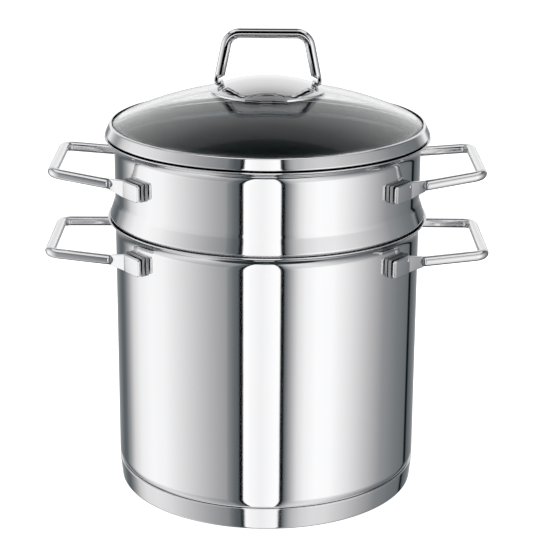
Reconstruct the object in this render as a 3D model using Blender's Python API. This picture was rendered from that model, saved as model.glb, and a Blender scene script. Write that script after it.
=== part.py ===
# Multi-pot: a tall pot, a steamer insert that hangs in its rim, and a glass lid.
# Metres, +Z up. The origin is the centre of the face that the pot stands on.
# The side handles point along -X and +X, and the lid's grip runs along X.
import math

import bmesh
import bpy
from mathutils import Matrix, Vector

MM = 0.001

# How finely the turned pieces are divided
SEGMENTS = 36
DISC_SEGMENTS = 28
SMALL_SEGMENTS = 20
BEND_STEPS = 3
CORNER_STEPS = 2
DOME_RINGS = 5
SHARP_ANGLE = 35.0

# Clearance between pieces that rest on, or are joined to, each other
SEAT_GAP = 0.3 * MM

# Pot
POT_INNER_RADIUS = 120.2 * MM
POT_HEIGHT = 221.3 * MM
POT_SHEET = 1.0 * MM
POT_CORNER_RADIUS = 15.0 * MM
POT_RIM_RADIUS = 20.0 * MM
POT_RIM_ANGLE = 45.0

# Base: a thick core inside a thin cap that tapers towards the bottom
CORE_THICKNESS = 7.9 * MM
CORE_SIDE_RISE = 6.0 * MM
CAP_SHEET = 1.0 * MM
CAP_HEIGHT = 17.8 * MM
CAP_PROUD = 0.15 * MM
CAP_TAPER = 1.85 * MM
CAP_EDGE_RADIUS = 1.5 * MM

# Steamer insert
STEAMER_SHEET = 1.0 * MM
COLLAR_HEIGHT = 64.55 * MM
COLLAR_INSET = 0.14 * MM
SKIRT_RISE = 16.1 * MM
SKIRT_REACH = 4.2 * MM
SKIRT_HEIGHT = 13.4 * MM
SKIRT_EDGE_RADIUS = 1.5 * MM
SKIRT_CREASE_RADIUS = 12.0 * MM
SEAT_LEAD_ANGLE = 12.0
SPIGOT_CLEARANCE = 0.8 * MM
SPIGOT_DEPTH = 16.5 * MM
STEAMER_CORNER_RADIUS = 10.0 * MM
STEAMER_RIM_RADIUS = 17.5 * MM
STEAMER_RIM_ANGLE = 55.6
HOLE_RADIUS = 3.5 * MM
HOLE_SIDES = 8
HOLE_RINGS = 4
HOLES_IN_FIRST_RING = 6
HOLE_MARGIN = 16.0 * MM
HOLE_CUT_MARGIN = 1.0 * MM

# Side handles, shared by the pot and the steamer
ROD_RADIUS = 4.0 * MM
ROD_BEND_RADIUS = 9.0 * MM
ROD_ROOT_HALF_SPAN = 54.9 * MM
ROD_BAR_HALF_SPAN = 45.1 * MM
ROD_ROOT_INSET = 0.5 * MM
NECK_THICKNESS = 3.0 * MM
NECK_HALF_HEIGHT = 4.55 * MM
NECK_EDGE = 0.8 * MM
NECK_WAIST = 0.2 * MM
CREASE_HALF_SPAN = 66.6 * MM
CREASE_HALF_HEIGHT = 6.7 * MM
SHOULDER = 0.4 * MM
TAB_THICKNESS = 2.9 * MM
TAB_LENGTH = 20.0 * MM
TAB_CORNER = 2.0 * MM
BRACKET_THICKNESS = 3.0 * MM
BRACKET_LENGTH = 25.0 * MM
BRACKET_EXTRA_HEIGHT = 0.4 * MM
BRACKET_CORNER = 1.5 * MM
WELD_RADIUS = 3.5 * MM
WELD_HEIGHT = 1.2 * MM
WELD_SEGMENTS = 12

# Where the two pairs of handles sit, measured down from the start of each rim
POT_TAB_DROP = 7.25 * MM
POT_ROD_DROP = 8.65 * MM
POT_HANDLE_REACH = 48.8 * MM
POT_HANDLE_TILT = 3.0
POT_TAB_HALF_HEIGHT = 6.9 * MM
STEAMER_TAB_DROP = 13.4 * MM
STEAMER_ROD_DROP = 12.5 * MM
STEAMER_HANDLE_REACH = 44.94 * MM
STEAMER_HANDLE_TILT = 7.5
STEAMER_TAB_HALF_HEIGHT = 6.65 * MM

# Lid glass
GLASS_CURVE_RADIUS = 280.0 * MM
GLASS_THICKNESS = 4.0 * MM
GLASS_OVERHANG = 0.84 * MM
GLASS_EDGE_RISE = 24.8 * MM
GLASS_EDGE_BEVEL = 0.6 * MM
GLASS_HOLE_RADIUS = 3.5 * MM

# Lid rim, one folded sheet, and the seal between its ledge and the glass
RIM_SHEET = 0.6 * MM
BAND_OVERHANG = 6.9 * MM
BAND_HEIGHT = 7.8 * MM
BAND_TOP_REACH = 2.8 * MM
BAND_FOLD_RADIUS = 0.6 * MM
RIM_TOP_PROUD = 0.35 * MM
GLASS_EDGE_CLEARANCE = 0.6 * MM
FLANGE_CLEARANCE = 0.66 * MM
FLANGE_DROP = 16.05 * MM
SEAL_THICKNESS = 1.2 * MM
SEAL_WIDTH = 2.2 * MM

# Rosette, grip and their fastening
ROSETTE_RADIUS = 45.5 * MM
ROSETTE_EDGE = 1.65 * MM
ROSETTE_CROWN = 9.0 * MM
ROSETTE_WALL = 1.5 * MM
ROSETTE_EDGE_BEVEL = 0.6 * MM
POST_RADIUS = 5.0 * MM
POST_BORE_DEPTH = 5.5 * MM
SCREW_RADIUS = 1.9 * MM
SCREW_HEAD_RADIUS = 4.2 * MM
SCREW_HEAD_HEIGHT = 2.0 * MM
SCREW_HEAD_EDGE = 1.0 * MM
SCREW_HEAD_TIP_RADIUS = 2.9 * MM
WASHER_RADIUS = 8.5 * MM
WASHER_THICKNESS = 0.9 * MM
GASKET_RADIUS = 9.5 * MM
GASKET_THICKNESS = 1.2 * MM
GRIP_ROD_RADIUS = 4.0 * MM
GRIP_HEIGHT = 38.8 * MM
GRIP_FOOT_SPAN = 40.4 * MM
GRIP_LEAN = 0.2
GRIP_BEND_RADIUS = 11.0 * MM
GRIP_FOOT_THICKNESS = 3.3 * MM
GRIP_FOOT_HALF_WIDTH = 6.0 * MM
GRIP_FOOT_LENGTH = 5.5 * MM
GRIP_NOSE_HALF_WIDTH = 4.5 * MM
GRIP_HEEL_RUN = 2.3 * MM
GRIP_HEEL_LIFT = 0.35 * MM
GRIP_HEEL_RISE = 2.65 * MM
GRIP_HEEL_SLOPE = 0.9
GRIP_NECK_HEIGHT = 4.2 * MM
GRIP_NECK_HALF_WIDTH = 4.5 * MM
GRIP_ROD_CUT = 3.0 * MM

# Finishes: colour, roughness, metallic
POLISHED_STEEL = ((0.80, 0.80, 0.81), 0.08, 1.0)
BRUSHED_STEEL = ((0.66, 0.67, 0.68), 0.28, 1.0)
ALUMINIUM = ((0.74, 0.75, 0.76), 0.4, 1.0)
GLASS = ((0.86, 0.91, 0.90), 0.03, 0.0)
SILICONE = ((0.55, 0.56, 0.57), 0.6, 0.0)

# Levels and radii that follow from the sizes above
pot_wall = POT_INNER_RADIUS + POT_SHEET
floor_bottom = CAP_SHEET + SEAT_GAP + CORE_THICKNESS + SEAT_GAP
pot_rim_centre = Vector((pot_wall + POT_RIM_RADIUS,
                         POT_HEIGHT - (POT_RIM_RADIUS + POT_SHEET) * math.sin(math.radians(POT_RIM_ANGLE))))
pot_corner_centre = Vector((pot_wall - POT_CORNER_RADIUS, floor_bottom + POT_CORNER_RADIUS))
collar_wall = pot_wall - COLLAR_INSET
collar_inner = collar_wall - STEAMER_SHEET
steamer_rim_centre = Vector((collar_wall + STEAMER_RIM_RADIUS, pot_rim_centre.y + COLLAR_HEIGHT))
glass_radius = collar_wall + GLASS_OVERHANG
glass_edge_top = steamer_rim_centre.y + GLASS_EDGE_RISE
glass_centre = glass_edge_top - math.sqrt(GLASS_CURVE_RADIUS ** 2 - glass_radius ** 2)


# Profiles: lists of (radius, height) in the plane of the axis
def arc(centre, radius, start, end, steps):
    points = []
    for step in range(steps + 1):
        angle = math.radians(start + (end - start) * step / steps)
        points.append(Vector((centre[0] + radius * math.cos(angle), centre[1] + radius * math.sin(angle))))
    return points


# Replaces each corner that has a radius with a bend of that radius
def rounded(corners, steps):
    points = []
    for index, (position, radius) in enumerate(corners):
        here = Vector(position)
        if not radius:
            points.append(here)
            continue
        back = (Vector(corners[index - 1][0]) - here).normalized()
        ahead = (Vector(corners[index + 1][0]) - here).normalized()
        half = back.angle(ahead) / 2
        centre = here + (back + ahead).normalized() * radius / math.sin(half)
        first = here + back * radius / math.tan(half) - centre
        last = here + ahead * radius / math.tan(half) - centre
        start = math.atan2(first.y, first.x)
        sweep = math.remainder(math.atan2(last.y, last.x) - start, math.tau)
        points += arc(centre, radius, math.degrees(start), math.degrees(start + sweep), steps)
    return points


# The outline of a sheet of even thickness whose middle follows the path
def sheet(path, thickness):
    left = []
    right = []
    for index, here in enumerate(path):
        before = here - path[index - 1] if index else path[1] - here
        after = path[index + 1] - here if index < len(path) - 1 else before
        along = (before.normalized() + after.normalized()).normalized()
        reach = thickness / 2 / along.dot(after.normalized())
        sideways = Vector((-along.y, along.x)) * reach
        left.append(here + sideways)
        right.append(here - sideways)
    return left + right[::-1]


# The direction in which a line from a point touches a circle that lies on its right
def tangent_angle(point, centre, radius):
    towards = centre - point
    return math.atan2(towards.y, towards.x) - math.asin(radius / towards.length)


# Even steps between two values, both ends included
def spread(first, last, steps):
    return [first + (last - first) * step / steps for step in range(steps + 1)]


# How a strip narrows towards its end for its corners to be round: (distance from the end, narrowing)
def rounded_end(radius):
    bends = [math.radians(angle) for angle in spread(0.0, 90.0, CORNER_STEPS)]
    return [(radius * (1 - math.cos(bend)), radius * (1 - math.sin(bend))) for bend in bends]


# Height of a sphere on the axis at a radius
def dome(centre_height, sphere_radius, radius):
    return centre_height + math.sqrt(sphere_radius ** 2 - radius ** 2)


# Turned solid: a closed outline makes a ring, an open one is closed by two flat discs
def turned(outline, open_ended, segments):
    solid = bmesh.new()
    points = [solid.verts.new((point[0], 0.0, point[1])) for point in outline]
    following = points[1:] if open_ended else points[1:] + points[:1]
    edges = [solid.edges.new(pair) for pair in zip(points, following)]
    bmesh.ops.spin(solid, geom=points + edges, cent=(0, 0, 0), axis=(0, 0, 1),
                   angle=math.tau, steps=segments, use_merge=True)
    if open_ended:
        bmesh.ops.holes_fill(solid, edges=[edge for edge in solid.edges if edge.is_boundary])
    bmesh.ops.recalc_face_normals(solid, faces=solid.faces)
    return solid


# Lofted solid: each station is (centre, direction, wide axis, half thickness, half width, corner radius)
def lofted(stations, points_per_corner):
    solid = bmesh.new()
    rings = [section(solid, station, points_per_corner) for station in stations]
    for ring, following in zip(rings, rings[1:]):
        for index in range(len(ring)):
            after = (index + 1) % len(ring)
            solid.faces.new((ring[index], ring[after], following[after], following[index]))
    solid.faces.new(rings[0])
    solid.faces.new(rings[-1])
    bmesh.ops.recalc_face_normals(solid, faces=solid.faces)
    return solid


def section(solid, station, points_per_corner):
    centre, direction, wide, half_thickness, half_width, corner = station
    along = direction.normalized()
    across = (wide - along * wide.dot(along)).normalized()
    through = along.cross(across)
    ring = []
    for quarter, (side_x, side_y) in enumerate(((1, 1), (-1, 1), (-1, -1), (1, -1))):
        for step in range(points_per_corner):
            angle = math.radians(90 * (quarter + (step + 0.5) / points_per_corner))
            x = side_x * (half_thickness - corner) + corner * math.cos(angle)
            y = side_y * (half_width - corner) + corner * math.sin(angle)
            ring.append(solid.verts.new(centre + through * x + across * y))
    return ring


def make_material(name, finish):
    colour, roughness, metallic = finish
    material = bpy.data.materials.new(name)
    material.use_nodes = True
    shader = material.node_tree.nodes["Principled BSDF"]
    shader.inputs["Base Color"].default_value = (*colour, 1.0)
    shader.inputs["Roughness"].default_value = roughness
    shader.inputs["Metallic"].default_value = metallic
    return material


def make_mesh(name, solid):
    mesh = bpy.data.meshes.new(name)
    solid.to_mesh(mesh)
    solid.free()
    mesh.shade_smooth()
    mesh.set_sharp_from_angle(angle=math.radians(SHARP_ANGLE))
    return mesh


def place(name, mesh, finish=None, parent=None, turn=0.0):
    piece = bpy.data.objects.new(name, mesh)
    bpy.context.scene.collection.objects.link(piece)
    piece.rotation_euler.z = turn
    if finish:
        mesh.materials.append(make_material(name, finish))
    if parent:
        piece.parent = parent
        piece.matrix_parent_inverse = Matrix.Translation(-parent.location)
    return piece


def make_guide(name, height):
    guide = bpy.data.objects.new(name, None)
    guide.location.z = height
    bpy.context.scene.collection.objects.link(guide)
    return guide


def boolean(piece, other, operation):
    other.hide_render = True
    other.display_type = 'WIRE'
    modifier = piece.modifiers.new(operation.lower(), 'BOOLEAN')
    modifier.operation = operation
    modifier.object = other


# Pot: the sheet runs from the flat floor round the corner, up the wall and out into the rim
def make_pot_body():
    half = POT_SHEET / 2
    path = arc(pot_corner_centre, POT_CORNER_RADIUS - half, -90, 0, BEND_STEPS)
    path += arc(pot_rim_centre, POT_RIM_RADIUS + half, 180, 180 - POT_RIM_ANGLE, BEND_STEPS)
    place("pot_body", make_mesh("pot_body", turned(sheet(path, POT_SHEET), True, SEGMENTS)), POLISHED_STEEL)


# Base: the cap's wall tapers down, and the core fills it up to the pot's rounded corner
def make_pot_base():
    cap_top = pot_wall + CAP_PROUD
    cap_bottom = cap_top - CAP_TAPER
    lip = math.asin((CAP_HEIGHT - pot_corner_centre.y) / POT_CORNER_RADIUS)
    lip_radius = pot_corner_centre.x + POT_CORNER_RADIUS * math.cos(lip) + SEAT_GAP
    wall_foot = Vector((cap_bottom - CAP_SHEET, CAP_EDGE_RADIUS))
    cap = rounded([((cap_bottom - 2 * CAP_EDGE_RADIUS, 0.0), 0),
                   ((cap_bottom, 0.0), CAP_EDGE_RADIUS),
                   ((cap_top, CAP_HEIGHT), 0),
                   ((lip_radius, CAP_HEIGHT), 0),
                   (wall_foot, 0),
                   ((wall_foot.x - CAP_EDGE_RADIUS, CAP_SHEET), 0)], BEND_STEPS)
    place("pot_base_cap", make_mesh("pot_base_cap", turned(cap, True, SEGMENTS)), BRUSHED_STEEL)

    side_top = floor_bottom + CORE_SIDE_RISE
    slope = (lip_radius - wall_foot.x) / (CAP_HEIGHT - wall_foot.y)
    seat_radius = POT_CORNER_RADIUS + SEAT_GAP
    seat_end = math.degrees(math.asin((side_top - pot_corner_centre.y) / seat_radius))
    core_foot = wall_foot + Vector((-SEAT_GAP, SEAT_GAP))
    core = [Vector((core_foot.x - CAP_EDGE_RADIUS, CAP_SHEET + SEAT_GAP)),
            core_foot,
            core_foot + Vector((slope, 1.0)) * (side_top - core_foot.y)]
    core += arc(pot_corner_centre, seat_radius, seat_end, -90, BEND_STEPS)
    place("pot_base_core", make_mesh("pot_base_core", turned(core, True, SEGMENTS)), ALUMINIUM)


# Steamer: one sheet from the floor up the spigot, over the pot's rim, out to the skirt's edge,
# back to the collar and out again into its own rim
def make_steamer_body(guide):
    half = STEAMER_SHEET / 2
    spigot = POT_INNER_RADIUS - SPIGOT_CLEARANCE - half
    floor = pot_rim_centre.y - SPIGOT_DEPTH + half
    bend = STEAMER_CORNER_RADIUS - half
    seat_radius = POT_RIM_RADIUS + POT_SHEET + SEAT_GAP + half
    collar = collar_wall - half
    edge = Vector((collar + SKIRT_REACH, pot_rim_centre.y + SKIRT_RISE))
    flank = -90 - math.degrees(tangent_angle(edge, pot_rim_centre, seat_radius))
    lead_in = arc(pot_rim_centre, seat_radius, 180 - SEAT_LEAD_ANGLE, 180 - flank, BEND_STEPS - 1)
    drop = (lead_in[0].x - spigot) / math.tan(math.radians(SEAT_LEAD_ANGLE))
    corners = [(point, 0) for point in arc((spigot - bend, floor + bend), bend, -90, 0, BEND_STEPS)]
    corners.append(((spigot, lead_in[0].y - drop), 0))
    corners += [(point, 0) for point in lead_in]
    corners.append((edge, SKIRT_EDGE_RADIUS))
    corners.append(((collar, edge.y + SKIRT_HEIGHT), SKIRT_CREASE_RADIUS))
    rim = arc(steamer_rim_centre, STEAMER_RIM_RADIUS + half, 180, 180 - STEAMER_RIM_ANGLE, BEND_STEPS)
    corners += [(point, 0) for point in rim]
    outline = sheet(rounded(corners, BEND_STEPS - 1), STEAMER_SHEET)
    body = place("steamer_body", make_mesh("steamer_body", turned(outline, True, SEGMENTS)),
                 POLISHED_STEEL, guide)

    holes = bmesh.new()
    pitch = (spigot - bend - HOLE_MARGIN) / HOLE_RINGS
    for ring in range(HOLE_RINGS + 1):
        count = max(1, HOLES_IN_FIRST_RING * ring)
        for index in range(count):
            angle = math.tau * index / count
            centre = Vector((math.cos(angle), math.sin(angle), 0)) * ring * pitch
            centre.z = floor
            bmesh.ops.create_cone(holes, cap_ends=True, segments=HOLE_SIDES, radius1=HOLE_RADIUS,
                                  radius2=HOLE_RADIUS, depth=STEAMER_SHEET + 2 * HOLE_CUT_MARGIN,
                                  matrix=Matrix.Translation(centre))
    cutter = place("steamer_hole_cutter", make_mesh("steamer_hole_cutter", holes), None, guide)
    boolean(body, cutter, 'DIFFERENCE')


# Half of a side handle, from the end of its wall tab to the middle of the outer bar.
# The right handle's front half is made here, on the -Y side.
def handle_stations(wall, rod_height, tab_height, reach, tilt, tab_half_height):
    up = Vector((0, 0, 1))
    rise = math.tan(math.radians(tilt))
    half_tab = TAB_THICKNESS / 2
    half_neck = NECK_THICKNESS / 2
    tab_radius = wall + SEAT_GAP + BRACKET_THICKNESS + WELD_HEIGHT + SEAT_GAP + half_tab
    crease = math.asin(CREASE_HALF_SPAN / tab_radius)
    stations = []
    for distance, drop in rounded_end(TAB_CORNER) + [(TAB_LENGTH - TAB_CORNER, 0.0)]:
        angle = crease + (TAB_LENGTH - distance) / tab_radius
        centre = Vector((tab_radius * math.cos(angle), -tab_radius * math.sin(angle), tab_height))
        stations.append((centre, Vector((math.sin(angle), math.cos(angle), 0)), up,
                         half_tab, tab_half_height - drop, NECK_EDGE))

    root = Vector((wall - ROD_ROOT_INSET, -ROD_ROOT_HALF_SPAN, rod_height))
    fold = Vector((tab_radius * math.cos(crease), -tab_radius * math.sin(crease), tab_height))
    neck = (root - fold).normalized()
    fold_direction = neck + Vector((math.sin(crease), math.cos(crease), 0))
    stations.append((fold, fold_direction, up, half_neck, CREASE_HALF_HEIGHT, NECK_EDGE))
    middle = (CREASE_HALF_HEIGHT + NECK_HALF_HEIGHT) / 2 - NECK_WAIST
    stations.append((fold.lerp(root, 0.5), neck, up, half_neck, middle, NECK_EDGE))
    stations.append((root, neck, up, half_neck, NECK_HALF_HEIGHT, NECK_EDGE))

    bar = wall + reach
    arm_start = Vector((root.x + SHOULDER, root.y))
    arm_angle = math.atan2(-ROD_BAR_HALF_SPAN - arm_start.y, bar - arm_start.x)
    bend_reach = ROD_BEND_RADIUS * math.tan((math.pi / 2 - arm_angle) / 2)
    arm = Vector((math.cos(arm_angle), math.sin(arm_angle)))
    bend_start = Vector((bar, -ROD_BAR_HALF_SPAN)) - arm * bend_reach
    bend_centre = bend_start + Vector((-arm.y, arm.x)) * ROD_BEND_RADIUS
    stops = [(arm_start, arm_angle)]
    for step in range(BEND_STEPS + 1):
        angle = arm_angle + (math.pi / 2 - arm_angle) * step / BEND_STEPS
        stops.append((bend_centre + Vector((math.sin(angle), -math.cos(angle))) * ROD_BEND_RADIUS, angle))
    for stop, angle in stops:
        centre = Vector((stop.x, stop.y, rod_height + (stop.x - root.x) * rise))
        direction = Vector((math.cos(angle), math.sin(angle), rise * math.cos(angle)))
        stations.append((centre, direction, up, ROD_RADIUS, ROD_RADIUS, ROD_RADIUS))
    return stations


# The other half of a loft, in the mirror plane whose normal is given
def with_mirror(stations, normal):
    flip = Matrix.Scale(-1, 3, normal)
    copies = []
    for centre, direction, wide, *sizes in reversed(stations):
        copies.append((flip @ centre, -(flip @ direction), wide, *sizes))
    return stations + copies


# Plate between a tab and the wall, made on +X with its weld boss in the middle
def bracket_mesh(name, wall, height, half_height):
    half = BRACKET_THICKNESS / 2
    radius = wall + SEAT_GAP + half
    ends = [(BRACKET_LENGTH / 2 - distance, drop) for distance, drop in rounded_end(BRACKET_CORNER)]
    stations = []
    for along, drop in [(-along, drop) for along, drop in ends] + [(0.0, 0.0)] + ends[::-1]:
        angle = along / radius
        centre = Vector((radius * math.cos(angle), radius * math.sin(angle), height))
        stations.append((centre, Vector((-math.sin(angle), math.cos(angle), 0)), Vector((0, 0, 1)),
                         half, half_height - drop, 0.0))
    plate = place(name, make_mesh(name, lofted(stations, 1)))
    boss = bmesh.new()
    reach = half + WELD_HEIGHT
    turn = Matrix.Translation((radius + reach / 2, 0, height)) @ Matrix.Rotation(math.pi / 2, 4, 'Y')
    bmesh.ops.create_cone(boss, cap_ends=True, segments=WELD_SEGMENTS, radius1=WELD_RADIUS,
                          radius2=WELD_RADIUS, depth=reach, matrix=turn)
    other = place(name + "_boss", make_mesh(name + "_boss", boss))
    boolean(plate, other, 'UNION')
    bpy.context.view_layer.update()
    mesh = bpy.data.meshes.new_from_object(plate.evaluated_get(bpy.context.evaluated_depsgraph_get()))
    for helper in (plate, other):
        bpy.data.objects.remove(helper)
    return mesh


def make_handles(vessel, guide, wall, rod_height, tab_height, reach, tilt, tab_half_height):
    stations = handle_stations(wall, rod_height, tab_height, reach, tilt, tab_half_height)
    stations = with_mirror(stations, Vector((0, 1, 0)))
    tab_radius = wall + 2 * SEAT_GAP + BRACKET_THICKNESS + WELD_HEIGHT + TAB_THICKNESS / 2
    tab_end = math.asin(CREASE_HALF_SPAN / tab_radius) + TAB_LENGTH / tab_radius
    bracket_angle = tab_end - BRACKET_LENGTH / 2 / (wall + SEAT_GAP + BRACKET_THICKNESS / 2)
    bracket = bracket_mesh(vessel + "_bracket", wall, tab_height, tab_half_height + BRACKET_EXTRA_HEIGHT)
    for side, turn, front in (("right", 0.0, -1), ("left", math.pi, 1)):
        name = vessel + "_handle_" + side
        place(name, make_mesh(name, lofted(stations, 3)), POLISHED_STEEL, guide, turn)
        for end, way in (("front", front), ("rear", -front)):
            label = name + "_bracket_" + end
            place(label, bracket.copy(), POLISHED_STEEL, guide, turn + way * bracket_angle)


# Glass: two parallel spheres with a bevelled edge and a hole for the screw
def make_lid_glass(guide):
    outer = spread(GLASS_HOLE_RADIUS, glass_radius - GLASS_EDGE_BEVEL, DOME_RINGS)
    inner_curve = GLASS_CURVE_RADIUS - GLASS_THICKNESS
    outline = [Vector((radius, dome(glass_centre, GLASS_CURVE_RADIUS, radius))) for radius in outer]
    outline.append(Vector((glass_radius, outline[-1].y - GLASS_EDGE_BEVEL)))
    lower = [Vector((radius, dome(glass_centre, inner_curve, radius))) for radius in outer[::-1]]
    outline.append(Vector((glass_radius, lower[0].y + GLASS_EDGE_BEVEL)))
    outline += lower
    place("lid_glass", make_mesh("lid_glass", turned(outline, False, SEGMENTS)), GLASS, guide)


# Rim: curled top edge, conical band, flank that seats on the steamer's rim, locating flange,
# ledge under the glass and channel round its edge, all in one sheet
def make_lid_rim(guide):
    half = RIM_SHEET / 2
    inner_curve = GLASS_CURVE_RADIUS - GLASS_THICKNESS
    channel = glass_radius + GLASS_EDGE_CLEARANCE + half
    top = glass_edge_top + RIM_TOP_PROUD
    band_top = Vector((glass_radius + BAND_TOP_REACH - GLASS_OVERHANG, top))
    band_foot = Vector((collar_wall + BAND_OVERHANG - half, top - BAND_HEIGHT))
    seat_radius = STEAMER_RIM_RADIUS + STEAMER_SHEET + SEAT_GAP + half
    flank = -90 - math.degrees(tangent_angle(band_foot, steamer_rim_centre, seat_radius))
    flange = collar_inner - FLANGE_CLEARANCE - half
    flange_bottom = glass_edge_top - FLANGE_DROP
    seat_foot = math.degrees(math.asin((flange_bottom + half - steamer_rim_centre.y) / seat_radius))
    seat = arc(steamer_rim_centre, seat_radius, 180 - flank, 180 - seat_foot, 1)
    seal_room = SEAL_THICKNESS + 2 * SEAT_GAP + half

    def ledge(radius):
        slope = radius / math.sqrt(inner_curve ** 2 - radius ** 2)
        return dome(glass_centre, inner_curve, radius) - seal_room * math.hypot(1, slope)

    corners = [((channel, top), 0),
               (band_top, BAND_FOLD_RADIUS),
               (band_foot, BAND_FOLD_RADIUS),
               (seat[0], 0),
               (seat[1], 0),
               ((seat[1].x - RIM_SHEET, flange_bottom), 0),
               ((flange, flange_bottom), BAND_FOLD_RADIUS),
               ((flange, ledge(flange)), 0),
               ((channel, ledge(channel)), 0),
               ((channel, top - RIM_SHEET - SEAT_GAP), 0)]
    outline = sheet(rounded(corners, BEND_STEPS - 1), RIM_SHEET)
    place("lid_rim", make_mesh("lid_rim", turned(outline, False, SEGMENTS)), POLISHED_STEEL, guide)

    seal_outer = glass_radius - SEAT_GAP
    seal = []
    for radius, depth in ((seal_outer - SEAL_WIDTH, 0), (seal_outer, 0), (seal_outer, 1),
                          (seal_outer - SEAL_WIDTH, 1)):
        slope = radius / math.sqrt(inner_curve ** 2 - radius ** 2)
        drop = (SEAT_GAP + depth * SEAL_THICKNESS) * math.hypot(1, slope)
        seal.append(Vector((radius, dome(glass_centre, inner_curve, radius) - drop)))
    place("lid_rim_seal", make_mesh("lid_rim_seal", turned(seal, False, SEGMENTS)), SILICONE, guide)


# Rosette: a domed disc, hollow underneath, with a post whose blind bore takes the screw
def make_lid_rosette(guide):
    edge_foot = dome(glass_centre, GLASS_CURVE_RADIUS, ROSETTE_RADIUS) + SEAT_GAP
    edge_top = edge_foot + ROSETTE_EDGE
    sphere, centre = rosette_sphere(edge_top)
    bore = SCREW_RADIUS + SEAT_GAP
    post_foot = glass_centre + GLASS_CURVE_RADIUS + SEAT_GAP
    outline = []
    for radius in spread(0.0, ROSETTE_RADIUS - ROSETTE_EDGE_BEVEL, DOME_RINGS)[1:]:
        outline.append(Vector((radius, dome(centre, sphere, radius))))
    outline.append(Vector((ROSETTE_RADIUS, edge_top - ROSETTE_EDGE_BEVEL)))
    outline.append(Vector((ROSETTE_RADIUS, edge_foot)))
    outline.append(Vector((ROSETTE_RADIUS - ROSETTE_WALL, edge_foot)))
    for radius in spread(ROSETTE_RADIUS - 1.5 * ROSETTE_WALL, POST_RADIUS, 2):
        outline.append(Vector((radius, dome(centre, sphere - ROSETTE_WALL, radius))))
    outline.append(Vector((POST_RADIUS, post_foot)))
    outline.append(Vector((bore, post_foot)))
    outline.append(Vector((bore, post_foot + POST_BORE_DEPTH)))
    disc = turned(outline, True, DISC_SEGMENTS)
    place("lid_rosette", make_mesh("lid_rosette", disc), POLISHED_STEEL, guide)


def rosette_sphere(edge_top):
    sphere = (ROSETTE_RADIUS ** 2 + ROSETTE_CROWN ** 2) / (2 * ROSETTE_CROWN)
    return sphere, edge_top + ROSETTE_CROWN - sphere


# Gasket, washer and screw hang under the glass, each a seat gap below the one above
def make_lid_fastening(guide):
    bore = SCREW_RADIUS + SEAT_GAP
    inner_curve = GLASS_CURVE_RADIUS - GLASS_THICKNESS
    gasket_top = dome(glass_centre, inner_curve, GASKET_RADIUS) - SEAT_GAP
    washer_top = gasket_top - GASKET_THICKNESS - SEAT_GAP
    for name, top, radius, thickness, finish in (
            ("lid_gasket", gasket_top, GASKET_RADIUS, GASKET_THICKNESS, SILICONE),
            ("lid_washer", washer_top, WASHER_RADIUS, WASHER_THICKNESS, BRUSHED_STEEL)):
        outline = [Vector((bore, top)), Vector((radius, top)), Vector((radius, top - thickness)),
                   Vector((bore, top - thickness))]
        place(name, make_mesh(name, turned(outline, False, SMALL_SEGMENTS)), finish, guide)
    head_top = washer_top - WASHER_THICKNESS - SEAT_GAP
    shank_top = glass_centre + GLASS_CURVE_RADIUS + POST_BORE_DEPTH
    outline = [Vector((SCREW_RADIUS, shank_top)),
               Vector((SCREW_RADIUS, head_top)),
               Vector((SCREW_HEAD_RADIUS, head_top)),
               Vector((SCREW_HEAD_RADIUS, head_top - SCREW_HEAD_EDGE)),
               Vector((SCREW_HEAD_TIP_RADIUS, head_top - SCREW_HEAD_HEIGHT))]
    place("lid_screw", make_mesh("lid_screw", turned(outline, True, SMALL_SEGMENTS)), BRUSHED_STEEL, guide)


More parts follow.
